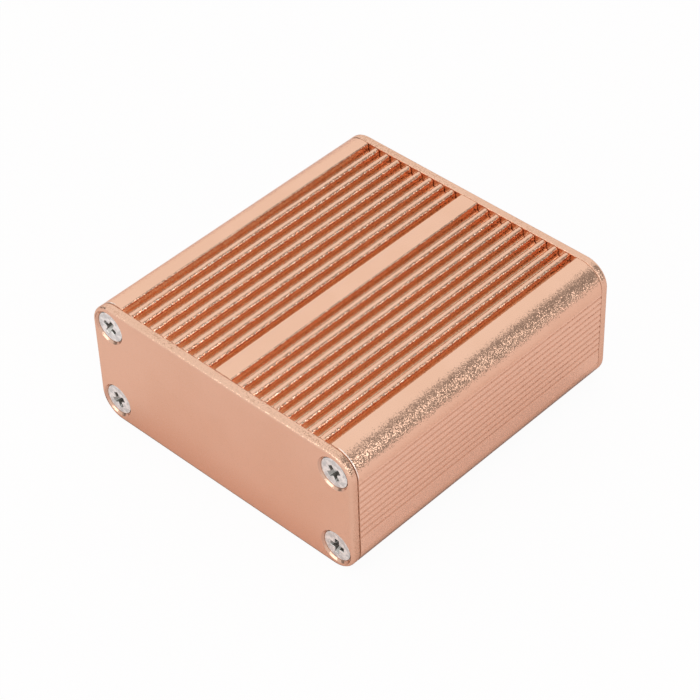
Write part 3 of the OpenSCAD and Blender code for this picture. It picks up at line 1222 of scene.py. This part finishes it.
def build_camera():
    """The camera, placed as for the photo about the middle of the box."""
    back = Vector((math.sin(CAMERA_TURN) * math.cos(CAMERA_RISE),
                   -math.cos(CAMERA_TURN) * math.cos(CAMERA_RISE), math.sin(CAMERA_RISE)))
    level = Vector((0, 0, 1)).cross(back).normalized()
    upright = back.cross(level)
    right = level * math.cos(CAMERA_ROLL) + upright * math.sin(CAMERA_ROLL)
    up = upright * math.cos(CAMERA_ROLL) - level * math.sin(CAMERA_ROLL)
    middle = Vector((0, 0, CASE_H / 2))
    place = middle + back * CAMERA_DISTANCE + right * CAMERA_ASIDE + up * CAMERA_ABOVE
    data = bpy.data.cameras.new("camera")
    data.lens = CAMERA_LENS
    data.clip_start = CAMERA_NEAR
    camera = new_object("camera", data)
    camera.matrix_world = Matrix.Translation(place) @ Matrix((right, up, back)).transposed().to_4x4()
    bpy.context.scene.camera = camera


def softbox(name, towards, distance, width, height, radiance):
    """A lamp that faces the box from a direction, as bright as a surface of that radiance."""
    data = bpy.data.lights.new(name, "AREA")
    data.shape = "RECTANGLE"
    data.size = width
    data.size_y = height
    data.energy = radiance * math.pi * width * height
    direction = Vector(towards).normalized()
    lamp = new_object(name, data)
    lamp.location = Vector((0, 0, CASE_H / 2)) + direction * distance
    lamp.rotation_euler = (-direction).to_track_quat("-Z", "Y").to_euler()
    lamp.visible_camera = False


def build_lamps():
    """Softboxes round the box, each named for what it lights."""
    softbox("spark_lamp", towards=(0.72, 0.53, 0.45), distance=600 * MM,
            width=70 * MM, height=440 * MM, radiance=1.5)
    softbox("side_lamp", towards=(0.89, 0.05, 0.45), distance=600 * MM,
            width=160 * MM, height=300 * MM, radiance=1.9)
    softbox("front_lamp", towards=(-0.05, -0.85, 0.51), distance=500 * MM,
            width=380 * MM, height=120 * MM, radiance=1.6)
    softbox("corner_lamp", towards=(0.72, -0.45, 0.53), distance=500 * MM,
            width=100 * MM, height=100 * MM, radiance=2.0)


def build_world():
    """A pale surround that is dim towards the right and back, and dark low on the left."""
    world = bpy.data.worlds.new("surround")
    world.use_nodes = True
    world.node_tree.nodes.clear()
    graph = Graph(world.node_tree)
    direction = graph.add("ShaderNodeTexCoord")["Generated"]
    colour = WHITE
    for centre, start, full, level in DIM_SIDES:
        facing = graph.vector("DOT_PRODUCT", direction, Vector(centre).normalized())["Value"]
        colour = blend(graph, facing.rise(start, full), colour, (level, level, level, 1))
    background = graph.add("ShaderNodeBackground", None, {"Color": colour, "Strength": 1.0})
    graph.add("ShaderNodeOutputWorld", None, {"Surface": background})
    bpy.context.scene.world = world


def floor_paint():
    """White paint that keeps the box's shadow. It is clear from below and where the box touches it."""
    material, graph = new_material("white_floor")
    path = graph.add("ShaderNodeLightPath")
    mirrored = graph.math("MAXIMUM", path["Is Glossy Ray"], path["Is Transmission Ray"])
    white = FLOOR_GLOW * path["Is Camera Ray"] + FLOOR_MIRRORED * mirrored
    paint = graph.add("ShaderNodeBsdfDiffuse", None, {"Color": FLOOR_PAINT})
    glow = graph.add("ShaderNodeEmission", None, {"Color": WHITE, "Strength": 1.0})
    mixed = graph.add("ShaderNodeMixShader", None, {"Fac": white, "Shader": paint, "Shader_001": glow})
    from_below = graph.add("ShaderNodeNewGeometry")["Backfacing"]
    unseen = graph.math("MAXIMUM", from_below, path["Ray Length"] < FLOOR_CONTACT)
    clear = graph.add("ShaderNodeBsdfTransparent")
    sheet = graph.add("ShaderNodeMixShader", None, {"Fac": unseen, "Shader": mixed, "Shader_001": clear})
    graph.add("ShaderNodeOutputMaterial", None, {"Surface": sheet})
    return material


def build_floor():
    """A round floor just below the box."""
    mesh = bpy.data.meshes.new("floor")
    shell = bmesh.new()
    bmesh.ops.create_circle(shell, cap_ends=True, segments=FLOOR_SIDES, radius=FLOOR_R)
    bmesh.ops.translate(shell, verts=shell.verts, vec=(0, 0, -FLOOR_DROP))
    shell.to_mesh(mesh)
    shell.free()
    mesh.materials.append(floor_paint())
    floor = new_object("floor", mesh)


build_camera()
build_pieces()
build_floor()
build_world()
build_lamps()
bpy.context.scene.view_settings.view_transform = "Standard"
